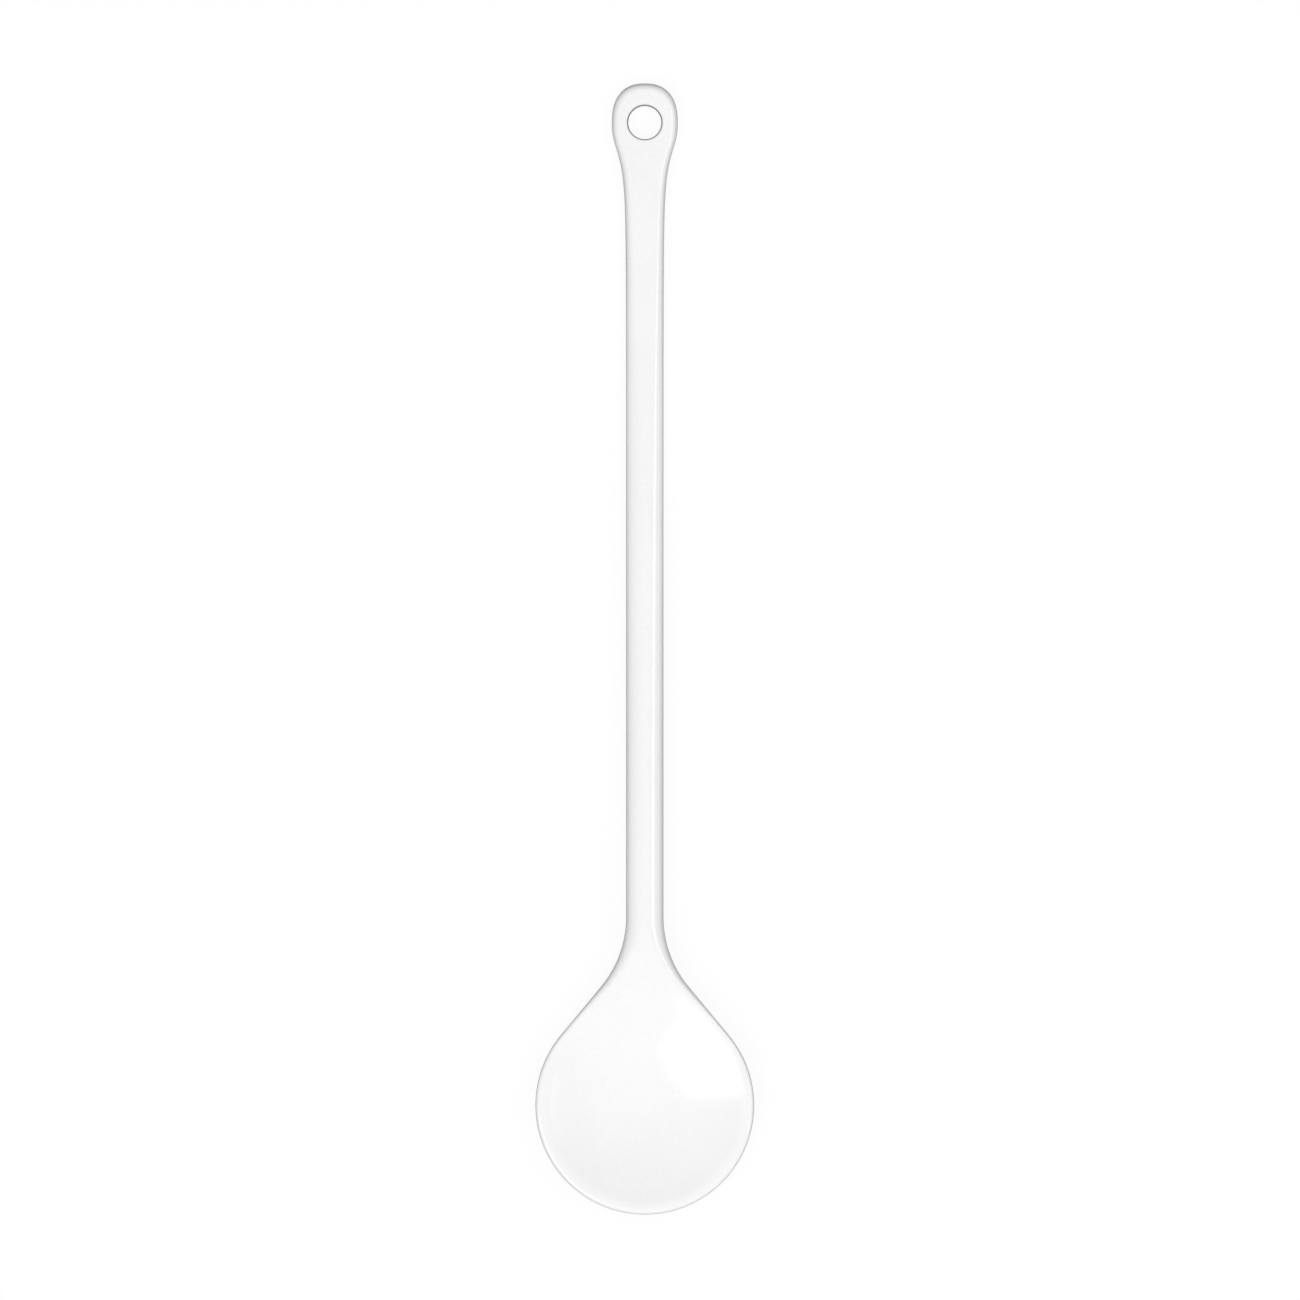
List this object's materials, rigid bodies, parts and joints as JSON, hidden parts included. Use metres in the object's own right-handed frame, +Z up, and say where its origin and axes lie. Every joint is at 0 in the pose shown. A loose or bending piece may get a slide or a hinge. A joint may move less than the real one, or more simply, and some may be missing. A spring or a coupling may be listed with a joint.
{
  "type": "cooking spoon",
  "caption": "One-piece moulded cooking spoon with a round shallow bowl, a slender oval handle and a flat end with a hole to hang it by.",
  "frame": {"origin": "on the table, under the centre of the spoon's box, with the spoon lying on its back", "axes": "+Y along the handle towards the hanging eye, +Z up out of the bowl, +X to the right as seen from above with the eye at the top"},
  "size_m": [0.058, 0.3, 0.0096],
  "materials": {
    "melamine": "moulded gloss"
  },
  "bodies": {
    "root": {"spoon": "melamine"}
  },
  "joints": []
}
